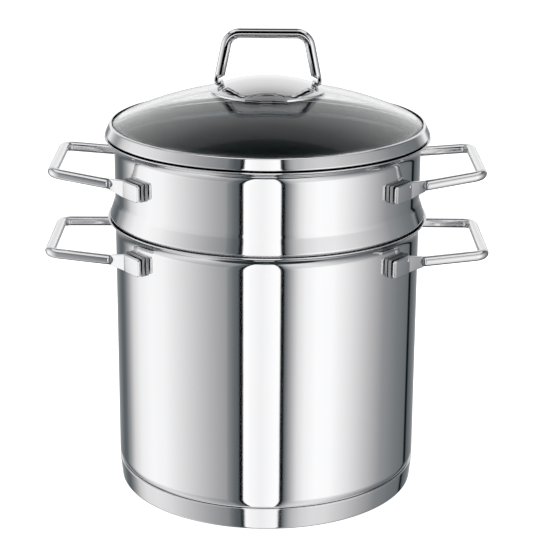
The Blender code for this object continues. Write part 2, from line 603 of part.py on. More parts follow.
# Grip: half of the loop, from the inner end of the foot on +X to the middle of the top bar
def make_lid_grip(guide):
    edge_top = dome(glass_centre, GLASS_CURVE_RADIUS, ROSETTE_RADIUS) + SEAT_GAP + ROSETTE_EDGE
    sphere, centre = rosette_sphere(edge_top)
    foot_sphere = sphere + SEAT_GAP + GRIP_FOOT_THICKNESS / 2
    half = GRIP_FOOT_THICKNESS / 2
    wide = Vector((0, 1, 0))
    edge = half / 2
    inner = GRIP_FOOT_SPAN - GRIP_FOOT_LENGTH
    stations = []
    for radius, half_width in ((inner, GRIP_NOSE_HALF_WIDTH), (inner + half, GRIP_FOOT_HALF_WIDTH),
                               (GRIP_FOOT_SPAN - GRIP_HEEL_RUN, GRIP_FOOT_HALF_WIDTH)):
        height = dome(centre, foot_sphere, radius)
        slope = radius / math.sqrt(foot_sphere ** 2 - radius ** 2)
        stations.append((Vector((radius, 0, height)), Vector((1, 0, -slope)), wide,
                         half, half_width, edge))
    heel = dome(centre, foot_sphere, GRIP_FOOT_SPAN)
    rod_foot = heel + GRIP_NECK_HEIGHT
    for height, direction, half_width in (
            (heel + GRIP_HEEL_LIFT, Vector((1, 0, GRIP_HEEL_SLOPE)), GRIP_FOOT_HALF_WIDTH),
            (heel + GRIP_HEEL_RISE, Vector((0, 0, 1)), GRIP_FOOT_HALF_WIDTH),
            (rod_foot, Vector((0, 0, 1)), GRIP_NECK_HALF_WIDTH)):
        stations.append((Vector((GRIP_FOOT_SPAN, 0, height)), direction, wide, half, half_width, edge))

    # The rod's outer side is flush with the neck's, and its inner side starts higher
    leg_foot = GRIP_FOOT_SPAN + half - GRIP_ROD_RADIUS
    cut = GRIP_ROD_RADIUS - half
    stations.append((Vector((leg_foot + cut, 0, rod_foot + SHOULDER)), Vector((0, 0, 1)), wide,
                     half, GRIP_ROD_RADIUS, half))
    top = centre + sphere + GRIP_HEIGHT - GRIP_ROD_RADIUS
    leg = Vector((-GRIP_LEAN, 1.0)).normalized()
    leg_start = Vector((leg_foot - GRIP_LEAN * GRIP_ROD_CUT, rod_foot + GRIP_ROD_CUT))
    corner = Vector((leg_foot - GRIP_LEAN * (top - rod_foot), top))
    lean = math.atan2(leg.y, leg.x)
    bend_reach = GRIP_BEND_RADIUS * math.tan((math.pi - lean) / 2)
    bend_start = corner - leg * bend_reach
    bend_centre = bend_start + Vector((-leg.y, leg.x)) * GRIP_BEND_RADIUS
    stops = [(leg_start, lean)]
    for step in range(BEND_STEPS + 1):
        angle = lean + (math.pi - lean) * step / BEND_STEPS
        stops.append((bend_centre + Vector((math.sin(angle), -math.cos(angle))) * GRIP_BEND_RADIUS, angle))
    for stop, angle in stops:
        stations.append((Vector((stop.x, 0, stop.y)), Vector((math.cos(angle), 0, math.sin(angle))), wide,
                         GRIP_ROD_RADIUS, GRIP_ROD_RADIUS, GRIP_ROD_RADIUS))
    stations = with_mirror(stations, Vector((1, 0, 0)))
    place("lid_grip", make_mesh("lid_grip", lofted(stations, 3)), POLISHED_STEEL, guide)


def main():
    for old in list(bpy.data.objects):
        bpy.data.objects.remove(old)
    make_pot_body()
    make_pot_base()
    make_handles("pot", None, pot_wall, pot_rim_centre.y - POT_ROD_DROP, pot_rim_centre.y - POT_TAB_DROP,
                 POT_HANDLE_REACH, POT_HANDLE_TILT, POT_TAB_HALF_HEIGHT)

    steamer_guide = make_guide("steamer_lift_axis", pot_rim_centre.y)
    make_steamer_body(steamer_guide)
    make_handles("steamer", steamer_guide, collar_wall, steamer_rim_centre.y - STEAMER_ROD_DROP,
                 steamer_rim_centre.y - STEAMER_TAB_DROP, STEAMER_HANDLE_REACH, STEAMER_HANDLE_TILT,
                 STEAMER_TAB_HALF_HEIGHT)

    lid_guide = make_guide("lid_lift_axis", steamer_rim_centre.y)
    make_lid_glass(lid_guide)
    make_lid_rim(lid_guide)
    make_lid_rosette(lid_guide)
    make_lid_fastening(lid_guide)
    make_lid_grip(lid_guide)


main()
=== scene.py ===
import math

import bmesh
import bpy
from mathutils import Matrix, Vector


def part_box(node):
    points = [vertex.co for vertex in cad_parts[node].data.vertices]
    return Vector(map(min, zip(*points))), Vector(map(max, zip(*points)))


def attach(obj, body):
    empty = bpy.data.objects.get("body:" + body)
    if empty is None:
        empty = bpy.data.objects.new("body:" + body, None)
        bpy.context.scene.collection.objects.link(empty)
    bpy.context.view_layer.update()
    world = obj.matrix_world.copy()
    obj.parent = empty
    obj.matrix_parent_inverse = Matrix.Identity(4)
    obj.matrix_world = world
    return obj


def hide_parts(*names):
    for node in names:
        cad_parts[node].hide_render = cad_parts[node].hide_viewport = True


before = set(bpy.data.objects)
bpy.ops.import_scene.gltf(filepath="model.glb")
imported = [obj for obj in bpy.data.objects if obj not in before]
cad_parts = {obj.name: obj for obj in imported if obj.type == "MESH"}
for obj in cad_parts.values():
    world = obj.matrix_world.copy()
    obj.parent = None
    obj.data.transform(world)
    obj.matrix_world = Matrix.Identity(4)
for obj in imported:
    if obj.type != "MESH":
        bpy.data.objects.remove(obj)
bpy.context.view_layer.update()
print("frame:", len(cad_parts), "nodes")

mm = 0.001
seatGap = 0.3 * mm  # room between pieces that rest on each other, as in the frame
turnSteps = 224  # facets round the large turned pieces
smallTurnSteps = 96  # and round the small ones
weld = 0.004 * mm  # points closer than this are merged
smoothBelow = 32.0  # degrees: edges that turn more stay crisp
fineStep = 3.0  # degrees between the points of the rims' bends


# Camera: where the photograph was taken from
camera = {
    "aim": Vector((2.5, 0.0, 172.86)) * mm,
    "distance": 1411.47 * mm,
    "elevation": 17.538,
    "roll": 0.335,
    "lens": 116.18,
    "sensor": 36.0,
}


def addCamera():
    elevation = math.radians(camera["elevation"])
    back = Vector((0, -math.cos(elevation), math.sin(elevation)))
    level = Vector((1, 0, 0))
    upright = back.cross(level)
    roll = math.radians(camera["roll"])
    right = level * math.cos(roll) + upright * math.sin(roll)
    up = back.cross(right)
    bpy.ops.object.camera_add()
    view = bpy.context.object
    view.name = "camera"
    view.data.lens = camera["lens"]
    view.data.sensor_width = camera["sensor"]
    view.data.clip_end = 50.0
    place = Matrix((right, up, back)).transposed().to_4x4()
    place.translation = camera["aim"] + back * camera["distance"]
    view.matrix_world = place
    bpy.context.scene.camera = view


# Node trees. An input is fed with a number, with a colour or vector as a tuple, or with another node's output.
def feed(tree, socket, value):
    if isinstance(value, tuple):
        socket.default_value = (*value, 1.0)[:len(socket.default_value)]
    elif isinstance(value, (int, float)):
        socket.default_value = value
    else:
        tree.links.new(value, socket)


def addNode(tree, kind, inputs=(), **settings):
    node = tree.nodes.new(kind)
    for key, value in settings.items():
        setattr(node, key, value)
    for key, value in dict(inputs).items():
        feed(tree, node.inputs[key], value)
    return node


def calculate(tree, operation, *values):
    return addNode(tree, "ShaderNodeMath", enumerate(values), operation=operation).outputs[0]


def mapRange(tree, value, fromLow, fromHigh, toLow=0.0, toHigh=1.0, kind="LINEAR"):
    inputs = {"Value": value, "From Min": fromLow, "From Max": fromHigh, "To Min": toLow, "To Max": toHigh}
    return addNode(tree, "ShaderNodeMapRange", inputs, interpolation_type=kind, clamp=True).outputs["Result"]


def mixColours(tree, factor, first, second):
    return addNode(tree, "ShaderNodeMix", {0: factor, 6: first, 7: second}, data_type="RGBA").outputs[2]


def scaleColour(tree, colour, factor):
    return addNode(tree, "ShaderNodeVectorMath", {0: colour, "Scale": factor}, operation="SCALE").outputs[0]


def addNoise(tree, place, scale, detail=2.0):
    return addNode(tree, "ShaderNodeTexNoise", {"Vector": place, "Scale": scale, "Detail": detail}).outputs["Fac"]


def addRamp(tree, value, stops):
    node = addNode(tree, "ShaderNodeValToRGB", {"Fac": value})
    elements = node.color_ramp.elements
    while len(elements) < len(stops):
        elements.new(1.0)
    for element, (position, colour) in zip(elements, stops):
        element.position = position
    for element, (position, colour) in zip(elements, stops):
        element.color = (*colour, 1.0) if isinstance(colour, tuple) else (colour, colour, colour, 1.0)
    return node.outputs["Color"]


# A ramp over an angle, with its stops as (degrees, tone)
def angleRamp(tree, angle, stops):
    low, high = stops[0][0], stops[-1][0]
    shares = [((degrees - low) / (high - low), tone) for degrees, tone in stops]
    return addRamp(tree, mapRange(tree, angle, low, high), shares)


# Studio: tall white cards and black flags round the pot, seen only in its reflections.
# Azimuth 0 is the camera's side, 90 is +X; brightness 1 is white.
studio = {
    "left": [(-180, 0.80), (-168, 0.42), (-158, 0.25), (-145, 0.125), (-139, 0.15), (-131, 0.36), (-122, 0.78),
             (-112, 1.02), (-98, 1.12), (-84, 1.08), (-64, 0.82), (-44, 0.55), (-30.2, 0.385), (-28.8, 0.29),
             (-24, 0.165), (-20.6, 0.13), (-20.1, 0.0), (-17.5, 0.0), (-16.9, 1.28), (-12, 1.14), (-4, 1.06),
             (0, 1.10)],
    "right": [(0, 1.10), (9.9, 1.22), (10.5, 0.0), (12.7, 0.0), (13.3, 0.115), (18, 0.45), (23.5, 0.86),
              (29, 1.05), (38, 1.17), (50, 1.15), (66, 0.90), (82, 0.61), (100, 0.33), (118, 0.225),
              (136, 0.165), (138, 0.004), (141, 0.004), (143.5, 0.115), (158, 0.24), (168, 0.42), (180, 0.80)],
    "tones": [(0.0, 0.0), (0.10, (0.086, 0.104, 0.112)), (0.25, (0.240, 0.255, 0.265)),
              (0.5, (0.502, 0.498, 0.505)), (1.0, 1.0)],
    "cardFoot": (-73.0, -67.0),  # below this the cards end
    "belowCards": 0.05,
    "cardTop": (40.0, 43.0),  # and above this
    # Between which heights the cards lose light, and how much at each; the strip in front keeps its light
    "cardFades": [(8.0, 30.0, 0.0, 0.38), (-35.0, -28.0, 0.24, 0.0)],
    "stripEdge": (17.0, 24.0),  # azimuth, on both sides
    "frontRoof": [(0, 0.02), (46, 0.02), (50, 0.92), (82, 0.92), (86, 0.03), (90, 0.03)],
    "backdrop": [(-20, 1.0), (8, 1.0), (15, 0.91), (26, 0.83), (33, 0.74), (37, 0.66), (41, 0.57), (46, 0.40),
                 (54, 0.24), (60, 0.05), (90, 0.03)],
    "backdropLight": 0.99,
    "backdropFoot": (-5.0, 0.0),
    "backdropEdge": (128.0, 150.0),
    "roomLight": 0.75,  # what dull surfaces get
}


def addWorld():
    world = bpy.data.worlds.new("studio")
    bpy.context.scene.world = world
    world.use_nodes = True
    tree = world.node_tree
    tree.nodes.clear()
    place = addNode(tree, "ShaderNodeTexCoord")
    away, along, height = addNode(tree, "ShaderNodeSeparateXYZ", {0: place.outputs["Generated"]}).outputs
    forward = calculate(tree, "MULTIPLY", along, -1.0)
    azimuth = calculate(tree, "DEGREES", calculate(tree, "ARCTAN2", away, forward))
    aside = calculate(tree, "ABSOLUTE", azimuth)
    elevation = calculate(tree, "DEGREES", calculate(tree, "ARCSINE", height))

    left = angleRamp(tree, azimuth, studio["left"])
    right = angleRamp(tree, azimuth, studio["right"])
    wall = mixColours(tree, calculate(tree, "GREATER_THAN", azimuth, 0.0), left, right)
    below = mapRange(tree, elevation, *studio["cardFoot"], studio["belowCards"], 1.0)
    wall = calculate(tree, "MULTIPLY", wall, below)
    beside = mapRange(tree, aside, *studio["stripEdge"])
    for low, high, lowLoss, highLoss in studio["cardFades"]:
        loss = calculate(tree, "MULTIPLY", mapRange(tree, elevation, low, high, lowLoss, highLoss), beside)
        wall = calculate(tree, "MULTIPLY", wall, calculate(tree, "SUBTRACT", 1.0, loss))
    # The ramp stops at 1, so what is brighter is put back on
    extra = calculate(tree, "MAXIMUM", wall, 1.0)
    bright = scaleColour(tree, addRamp(tree, wall, studio["tones"]), extra)
    # Over the cards is a roof light in front, and behind the pot hangs a white backdrop
    roof = angleRamp(tree, elevation, studio["frontRoof"])
    pattern = mixColours(tree, mapRange(tree, elevation, *studio["cardTop"]), bright, roof)
    backdrop = scaleColour(tree, angleRamp(tree, elevation, studio["backdrop"]), studio["backdropLight"])
    behind = calculate(tree, "MULTIPLY", mapRange(tree, elevation, *studio["backdropFoot"], kind="SMOOTHSTEP"),
                       mapRange(tree, aside, *studio["backdropEdge"], kind="SMOOTHSTEP"))
    pattern = mixColours(tree, behind, pattern, backdrop)

    # The camera sees plain white, straight or through the glass
    path = addNode(tree, "ShaderNodeLightPath")
    straight = calculate(tree, "LESS_THAN", path.outputs["Glossy Depth"], 0.5)
    through = calculate(tree, "MULTIPLY", path.outputs["Is Transmission Ray"], straight)
    seen = calculate(tree, "MAXIMUM", path.outputs["Is Camera Ray"], through)
    room = studio["roomLight"]
    colour = mixColours(tree, path.outputs["Is Diffuse Ray"], pattern, (room, room, room))
    colour = mixColours(tree, seen, colour, (1.0, 1.0, 1.0))
    background = addNode(tree, "ShaderNodeBackground", {"Color": colour})
    addNode(tree, "ShaderNodeOutputWorld", {0: background.outputs[0]})


# Floor: pale, white to the camera where nothing shades it
floor = {"size": 8.0, "colour": (0.93, 0.93, 0.93), "roughness": 0.9, "lift": 0.62, "drop": 0.05 * mm}
topLamp = {"place": Vector((-0.3, -0.2, 2.2)), "size": 2.4, "power": 26.0}
# Flags: black planes in front of the lid, seen only in reflections, which give the grip its dark bands.
# Each has its low and its high corner.
flags = {
    "frontFlag": (Vector((-90, -100, 368)) * mm, Vector((90, -100, 570)) * mm),
    "lowFlag": (Vector((-76, -100, 306)) * mm, Vector((61, -100, 343)) * mm),
}


def hideFrom(thing, *rays):
    for ray in rays:
        setattr(thing, "visible_" + ray, False)


def addFloor():
    bpy.ops.mesh.primitive_plane_add(size=floor["size"], location=(0, 0, -floor["drop"]))
    plane = bpy.context.object
    plane.name = "floor"
    material, tree, shader = newMaterial("paleFloor", floor["colour"], floor["roughness"])
    path = addNode(tree, "ShaderNodeLightPath")
    seen = calculate(tree, "MAXIMUM", path.outputs["Is Camera Ray"], path.outputs["Is Transmission Ray"])
    feed(tree, shader.inputs["Specular IOR Level"], 0.0)
    feed(tree, shader.inputs["Emission Color"], (1.0, 1.0, 1.0))
    feed(tree, shader.inputs["Emission Strength"], calculate(tree, "MULTIPLY", seen, floor["lift"]))
    plane.data.materials.append(material)
    hideFrom(plane, "glossy")


def addFlags():
    material = bpy.data.materials.new("blackFlag")
    material.use_nodes = True
    tree = material.node_tree
    tree.nodes.clear()
    light = addNode(tree, "ShaderNodeEmission", {"Color": (0.0, 0.0, 0.0)})
    addNode(tree, "ShaderNodeOutputMaterial", {0: light.outputs[0]})
    for name, (low, high) in flags.items():
        bpy.ops.mesh.primitive_plane_add(size=1.0, location=(low + high) / 2, rotation=(math.pi / 2, 0, 0))
        flag = bpy.context.object
        flag.name = name
        flag.scale = (high.x - low.x, high.z - low.z, 1.0)
        flag.data.materials.append(material)
        hideFrom(flag, "camera", "diffuse", "transmission", "shadow")


def addLamp():
    place = topLamp["place"]
    bpy.ops.object.light_add(type="AREA", location=place)
    lamp = bpy.context.object
    lamp.name = "topLamp"
    lamp.data.shape = "DISK"
    lamp.data.size = topLamp["size"]
    lamp.data.energy = topLamp["power"]
    lamp.rotation_euler = (-place).to_track_quat("-Z", "Y").to_euler()
    hideFrom(lamp, "glossy", "camera", "transmission")


# Outlines: lists of (radius, height) points
def arcPoints(centre, radius, start, end, stepAngle=5.0):
    steps = max(2, math.ceil(abs(end - start) / stepAngle))
    points = []
    for step in range(steps + 1):
        angle = math.radians(start + (end - start) * step / steps)
        points.append(Vector((centre[0] + radius * math.cos(angle), centre[1] + radius * math.sin(angle))))
    return points


# Rounds each corner that has a radius: corners are (point, radius)
def roundedOutline(corners, stepAngle=7.5):
    points = []
    for index, (position, radius) in enumerate(corners):
        here = Vector(position)
        if not radius:
            points.append(here)
            continue
        back = (Vector(corners[index - 1][0]) - here).normalized()
        ahead = (Vector(corners[(index + 1) % len(corners)][0]) - here).normalized()
        half = back.angle(ahead) / 2
        centre = here + (back + ahead).normalized() * radius / math.sin(half)
        first = here + back * radius / math.tan(half) - centre
        last = here + ahead * radius / math.tan(half) - centre
        start = math.atan2(first.y, first.x)
        sweep = math.remainder(math.atan2(last.y, last.x) - start, math.tau)
        points += arcPoints(centre, radius, math.degrees(start), math.degrees(start + sweep), stepAngle)
    return points


# A sheet of even thickness along a path, with its last cut edge rounded where asked
def sheetOutline(path, thickness, roundEnd=False):
    left = []
    right = []
    for index, here in enumerate(path):
        before = here - path[index - 1] if index else path[1] - here
        after = path[index + 1] - here if index < len(path) - 1 else before
        along = (before.normalized() + after.normalized()).normalized()
        reach = thickness / 2 / along.dot(after.normalized())
        sideways = Vector((-along.y, along.x)) * reach
        left.append(here + sideways)
        right.append(here - sideways)
    end = []
    if roundEnd:
        spoke = left[-1] - path[-1]
        start = math.degrees(math.atan2(spoke.y, spoke.x))
        end = arcPoints(path[-1], thickness / 2, start, start - 180, 22.5)[1:-1]
    return left + end + right[::-1]


# Puts a point close to both ends of each long straight stretch, which keeps the shading crisp
def withHolds(outline, closed, hold=0.35 * mm, shortest=2.5 * mm):
    points = []
    last = len(outline) - (0 if closed else 1)
    for index, here in enumerate(outline):
        points.append(here)
        if index >= last:
            continue
        ahead = outline[(index + 1) % len(outline)]
        length = (ahead - here).length
        if length > shortest:
            points.append(here.lerp(ahead, hold / length))
            points.append(ahead.lerp(here, hold / length))
    return points


def domeHeight(centreHeight, sphereRadius, radius):
    return centreHeight + math.sqrt(sphereRadius ** 2 - radius ** 2)


def domePoints(centreHeight, sphereRadius, radii):
    return [Vector((radius, domeHeight(centreHeight, sphereRadius, radius))) for radius in radii]


# How many times its thickness a layer on a dome measures straight up
def domeSlant(sphereRadius, radius):
    return sphereRadius / math.sqrt(sphereRadius ** 2 - radius ** 2)


def spread(first, last, steps):
    return [first + (last - first) * step / steps for step in range(steps + 1)]


# Modelling
# Selects these pieces alone, with the first as the active one
def pick(*pieces):
    bpy.ops.object.select_all(action="DESELECT")
    for piece in pieces:
        piece.select_set(True)
    bpy.context.view_layer.objects.active = pieces[0]


def editMode():
    bpy.ops.object.mode_set(mode="EDIT")


def objectMode():
    bpy.ops.object.mode_set(mode="OBJECT")


# A new piece, open for editing, with the corners of a small plane selected
def startPiece(name):
    bpy.ops.mesh.primitive_plane_add(size=1 * mm)
    piece = bpy.context.object
    piece.name = name
    piece.data.name = name
    editMode()
    bpy.ops.mesh.select_mode(type="VERT")
    return piece


def startEmpty(name):
    piece = startPiece(name)
    bpy.ops.mesh.delete(type="VERT")
    return piece


def selectAll():
    bpy.ops.mesh.select_all(action="SELECT")


def selectWhere(piece, test, kind="VERT"):
    bpy.ops.mesh.select_mode(type=kind)
    bpy.ops.mesh.select_all(action="DESELECT")
    mesh = bmesh.from_edit_mesh(piece.data)
    parts = {"VERT": mesh.verts, "EDGE": mesh.edges, "FACE": mesh.faces}[kind]
    for part in parts:
        if test(part):
            part.select = True
    mesh.select_flush_mode()
    bmesh.update_edit_mesh(piece.data)


def extrudeBy(offset):
    bpy.ops.mesh.extrude_region_move(TRANSFORM_OT_translate={"value": tuple(offset)})


# Merges doubles and turns all faces outwards
def cleanMesh():
    selectAll()
    bpy.ops.mesh.remove_doubles(threshold=weld)
    bpy.ops.mesh.normals_make_consistent(inside=False)


def shade(piece):
    pick(piece)
    bpy.ops.object.shade_smooth_by_angle(angle=math.radians(smoothBelow))


# Turns what is selected about a point, counter-clockwise as seen from the axis' tip
def turnBy(angle, axis, centre=(0, 0, 0)):
    bpy.ops.transform.rotate(value=-angle, orient_axis=axis, center_override=centre)


# Stands a flat section that is selected across its path, which turns about the given axis
def placeSection(centre, heading, axis):
    if axis == "Z":
        turnBy(math.pi / 2, "X")
        turnBy(heading + math.pi / 2, "Z")
    else:
        turnBy(math.pi / 2 - heading, "Y")
    bpy.ops.transform.translate(value=centre)


# Sets down the section of a flat strip with rounded corners at the first station of a path.
# A station is (centre, heading, width). The path turns about the axis that the strip is wide along.
def startStrip(station, axis, thickness, rounding):
    centre, heading, width = station
    bpy.ops.mesh.primitive_plane_add(size=1.0)
    bpy.ops.transform.resize(value=(thickness, width, 1.0), center_override=(0, 0, 0))
    bpy.ops.mesh.bevel(affect="VERTICES", offset_type="OFFSET", offset=rounding, segments=5)
    placeSection(centre, heading, axis)


def sweepStrip(stations, axis):
    for (lastCentre, lastHeading, lastWidth), (centre, heading, width) in zip(stations, stations[1:]):
        extrudeBy(centre - lastCentre)
        change = heading - lastHeading if axis == "Z" else lastHeading - heading
        if change:
            turnBy(change, axis, centre)
        share = width / lastWidth
        bpy.ops.transform.resize(value=(1.0, 1.0, share) if axis == "Z" else (1.0, share, 1.0),
                                 center_override=centre)


# A strip's rounded end: (distance from its very end, narrowing), from the first distance on
def roundEnd(corner, first, steps=5):
    bends = spread(math.acos(1 - first / corner), math.pi / 2, steps)
    return [(corner * (1 - math.cos(bend)), corner * (1 - math.sin(bend))) for bend in bends]


# Joins the open ends that don't lie on the mirror plane
def bridgeInside(piece, mirrorAxis, cuts):
    def isInside(edge):
        return edge.is_boundary and any(abs(vertex.co[mirrorAxis]) >= 0.001 * mm for vertex in edge.verts)

    selectWhere(piece, isInside, "EDGE")
    bpy.ops.mesh.bridge_edge_loops(type="PAIRS", number_cuts=cuts, interpolation="LINEAR")


def mirrorPiece(piece, mirrorAxis):
    objectMode()
    modifier = piece.modifiers.new("otherHalf", "MIRROR")
    modifier.use_axis = [mirrorAxis == index for index in range(3)]
    modifier.merge_threshold = 0.01 * mm
    bpy.ops.object.modifier_apply(modifier=modifier.name)
    editMode()
    cleanMesh()


# Rounds the flat ends of strips, which are the only faces with this many corners
def roundStripEnds(piece, depth):
    selectWhere(piece, lambda face: len(face.verts) > 12, "FACE")
    bpy.ops.mesh.inset(thickness=0.3 * depth, depth=0.6 * depth)
    bpy.ops.mesh.inset(thickness=0.7 * depth, depth=0.4 * depth)
    objectMode()


# The round rod: a circle set down across its path
def startRod(centre, heading, axis, radius, points):
    bpy.ops.mesh.primitive_circle_add(vertices=points, radius=radius)
    placeSection(centre, heading, axis)


# Turned piece: its outline is drawn point by point from one vertex, then spun round the axis.
# A closed outline makes a ring; an open one is closed by flat faces or by its own poles.
def turnPiece(name, outline, closed=True, steps=turnSteps):
    piece = startPiece(name)
    bpy.ops.mesh.merge(type="CENTER")
    here = outline[0]
    bpy.ops.transform.translate(value=(here.x, 0, here.y))
    for point in outline[1:]:
        extrudeBy((point.x - here.x, 0, point.y - here.y))
        here = point
    if closed:
        selectWhere(piece, lambda vertex: len(vertex.link_edges) == 1)
        bpy.ops.mesh.edge_face_add()
    selectAll()
    bpy.ops.mesh.spin(steps=steps, angle=math.tau, center=(0, 0, 0), axis=(0, 0, 1))
    selectAll()
    bpy.ops.mesh.remove_doubles(threshold=weld)
    if not closed:
        bpy.ops.mesh.fill_holes(sides=0)
    cleanMesh()
    objectMode()
    shade(piece)
    return piece


def finishPiece(piece, material, body, slot, *nodes):
    if not piece.data.materials:
        piece.data.materials.append(material)
    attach(piece, body)
    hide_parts(*nodes)


# Materials
def newMaterial(name, colour, roughness, metallic=0.0):
    material = bpy.data.materials.new(name)
    material.use_nodes = True
    shader = material.node_tree.nodes["Principled BSDF"]
    shader.inputs["Base Color"].default_value = (*colour, 1.0)
    shader.inputs["Roughness"].default_value = roughness
    shader.inputs["Metallic"].default_value = metallic
    return material, material.node_tree, shader


# Shared effect: the faint marks that polishing leaves, as a roughness and a normal.
# Stretch says how far the marks run along each axis. These values hold where a look has none of its own.
polishValues = {"Roughness": 0.06, "Variation": 0.02, "Scale": 30.0, "Ripple": 0.1, "Grain": 0.02,
                "Stretch": (1.0, 1.0, 1.0)}


def polishGroup():
    group = bpy.data.node_groups.new("polishMarks", "ShaderNodeTree")
    for name, value in polishValues.items():
        kind = "NodeSocketVector" if isinstance(value, tuple) else "NodeSocketFloat"
        group.interface.new_socket(name, in_out="INPUT", socket_type=kind).default_value = value
    group.interface.new_socket("Roughness", in_out="OUTPUT", socket_type="NodeSocketFloat")
    group.interface.new_socket("Normal", in_out="OUTPUT", socket_type="NodeSocketVector")
    given = addNode(group, "NodeGroupInput").outputs
    place = addNode(group, "ShaderNodeTexCoord").outputs["Object"]
    stretched = addNode(group, "ShaderNodeVectorMath", {0: place, 1: given["Stretch"]}, operation="MULTIPLY")
    grain = addNoise(group, stretched.outputs[0], calculate(group, "MULTIPLY", given["Scale"], 60.0), 3.0)
    cloud = addNoise(group, place, given["Scale"])

    centred = calculate(group, "SUBTRACT", calculate(group, "ADD", grain, cloud), 1.0)
    change = calculate(group, "MULTIPLY", centred, given["Variation"])
    rough = calculate(group, "ADD", given["Roughness"], change)
    fine = calculate(group, "MULTIPLY", grain, given["Grain"])
    slow = calculate(group, "MULTIPLY", cloud, given["Ripple"])
    height = calculate(group, "ADD", fine, slow)
    bump = addNode(group, "ShaderNodeBump", {"Distance": 0.1 * mm, "Height": height})
    addNode(group, "NodeGroupOutput", {"Roughness": calculate(group, "MAXIMUM", rough, 0.01),
                                       "Normal": bump.outputs[0]})
    return group


def steelMaterial(name, marks, look):
    material, tree, shader = newMaterial(name, look["colour"], look["roughness"], 1.0)
    inputs = {key.capitalize(): value for key, value in look.items() if key != "colour"}
    node = addNode(tree, "ShaderNodeGroup", inputs, node_tree=marks)
    for key in ("Roughness", "Normal"):
        feed(tree, shader.inputs[key], node.outputs[key])
    return material


steelLooks = {
    "mirrorSteel": {"colour": (0.83, 0.83, 0.84), "roughness": 0.055, "variation": 0.015, "scale": 14.0,
                    "ripple": 0.12, "grain": 0.01, "stretch": (1.0, 1.0, 0.08)},
    # Insides: satin finish, with a colour darkened as painted shade inside the vessels
    "satinShadeInside": {"colour": (0.17, 0.22, 0.245), "roughness": 0.33, "variation": 0.05, "scale": 14.0,
                    "ripple": 0.05, "grain": 0.05, "stretch": (0.15, 0.15, 4.0)},
    "satinShadePotInside": {"colour": (0.50, 0.52, 0.53), "roughness": 0.30, "variation": 0.05, "scale": 14.0,
                       "ripple": 0.05, "grain": 0.05, "stretch": (0.15, 0.15, 4.0)},
    "turnedBase": {"colour": (0.79, 0.79, 0.80), "roughness": 0.07, "scale": 14.0, "ripple": 0.15,
                   "grain": 0.04, "stretch": (0.3, 0.3, 6.0)},
    "handleSteel": {"colour": (0.83, 0.83, 0.84), "roughness": 0.13},
    "gripSteel": {"colour": (0.83, 0.83, 0.84), "roughness": 0.075},
    # Darker steel for the rod's drawn-in end: painted shade for the dark reflection at its shoulder
    "shoulderShadeSteel": {"colour": (0.20, 0.21, 0.22), "roughness": 0.28, "variation": 0.06, "scale": 60.0,
                     "ripple": 0.2, "grain": 0.1},
    # Brackets: steel darkened as painted shade for the gap behind the handle tabs
    "bracketShadeSteel": {"colour": (0.30, 0.31, 0.315), "roughness": 0.16, "variation": 0.03, "grain": 0.03},
    "fastenerSteel": {"colour": (0.62, 0.62, 0.63), "roughness": 0.25, "variation": 0.06, "scale": 60.0,
                      "ripple": 0.2, "grain": 0.1},
    "coreAluminium": {"colour": (0.74, 0.75, 0.76), "roughness": 0.4, "variation": 0.08, "ripple": 0.2,
                      "grain": 0.3, "stretch": (0.3, 0.3, 5.0)},
}


def glassMaterial():
    material, tree, shader = newMaterial("clearGlass", (0.975, 0.985, 0.985), 0.0)
    feed(tree, shader.inputs["Transmission Weight"], 1.0)
    feed(tree, shader.inputs["IOR"], 1.47)
    cloud = addNoise(tree, addNode(tree, "ShaderNodeTexCoord").outputs["Object"], 9.0)
    feed(tree, shader.inputs["Roughness"], mapRange(tree, cloud, 0.3, 0.7, 0.0, 0.02))
    return material


def siliconeMaterial():
    material, tree, shader = newMaterial("greySilicone", (0.42, 0.44, 0.45), 0.6)
    cloud = addNoise(tree, addNode(tree, "ShaderNodeTexCoord").outputs["Object"], 700.0)
    feed(tree, shader.inputs["Roughness"], mapRange(tree, cloud, 0.3, 0.7, 0.52, 0.68))
    tone = mixColours(tree, cloud, (0.39, 0.41, 0.42), (0.45, 0.47, 0.48))
    feed(tree, shader.inputs["Base Color"], tone)
    return material


# Pot
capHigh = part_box("pot_base_cap")[1]
pot = {
    "wall": capHigh.x - 0.15 * mm,
    "sheet": 1.0 * mm,
    "floor": 9.5 * mm,
    "corner": 15.0 * mm,
    "rimRadius": 12.0 * mm,
    "rimAngle": 58.5,
    "height": 221.3 * mm,
    "brightEdge": 1.0 * mm,  # what the satin, painted-shade inside leaves free at the rim
}
pot["rimCentre"] = Vector((pot["wall"] + pot["rimRadius"], pot["height"]))
pot["rimCentre"].y -= (pot["rimRadius"] + pot["sheet"]) * math.sin(math.radians(pot["rimAngle"]))
pot["cornerCentre"] = Vector((pot["wall"] - pot["corner"], pot["floor"] + pot["corner"]))


# The bend of a vessel's rim, along the middle of its sheet
def rimArc(vessel):
    middle = vessel["rimRadius"] + vessel["sheet"] / 2
    return arcPoints(vessel["rimCentre"], middle, 180, 180 - vessel["rimAngle"], fineStep)


def makePot(steel, inside):
    half = pot["sheet"] / 2
    path = [Vector((0.0, pot["floor"] + half))]
    path += arcPoints(pot["cornerCentre"], pot["corner"] - half, -90, 0)
    path += rimArc(pot)
    outline = sheetOutline(path, pot["sheet"], roundEnd=True)
    piece = turnPiece("potBody", withHolds(outline, False), closed=False)
    shadeInsideFaces(piece, steel, inside, pot["wall"] - half, pot["height"] - pot["brightEdge"])
    finishPiece(piece, steel, "pot", "polished_steel", "pot_body")


# Gives the faces that look into a vessel a satin finish and a darker steel: the satin is the finish, the darker
# colour is painted shade inside the vessel
satinAndShade = {"flare": 12.0 * mm, "inward": 0.3, "upward": 0.6}  # how far past the wall, and which faces look inside


